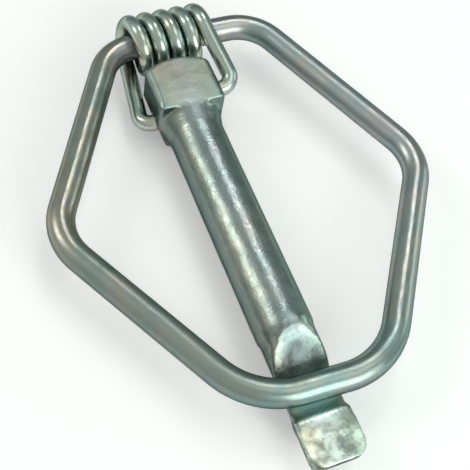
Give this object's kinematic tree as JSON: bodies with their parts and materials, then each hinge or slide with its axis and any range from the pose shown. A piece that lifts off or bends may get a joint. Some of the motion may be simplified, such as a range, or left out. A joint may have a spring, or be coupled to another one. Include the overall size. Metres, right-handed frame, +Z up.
{
  "type": "wire lock pin",
  "caption": "Plated lock pin: a forged pin with a scooped tab end and a wire ring on a coil spring, which swings over the end and holds in its saddle.",
  "frame": {"origin": "on the shank's axis, where the full round of the shank starts below the head's neck", "axes": "+Y along the shank towards the head and the coil, +X across the head, +Z up from the head's flat face; the shank leaves along -Y"},
  "size_m": [0.0755, 0.0989, 0.0153],
  "materials": {
    "pin_steel": "zinc plated forging, satin and slightly mottled",
    "spring_steel": "zinc plated drawn wire, bright",
    "ring_steel": "zinc plated drawn wire, bright"
  },
  "bodies": {
    "pin": {"pin": "pin_steel"},
    "spring": {"spring": "spring_steel"},
    "ring": {"ring": "ring_steel"}
  },
  "joints": [
    {"name": "link_swing", "type": "hinge", "parent": "pin", "child": "spring", "pos_m": [0, 0.0074, 0], "axis": [-0.9666, -0.1531, -0.2055], "range_deg": [0, 30]},
    {"name": "ring_swing", "type": "hinge", "parent": "spring", "child": "ring", "pos_m": [0.0011, 0.0233, 0.0021], "axis": [-1, 0, 0], "range_deg": [0, 345]}
  ]
}
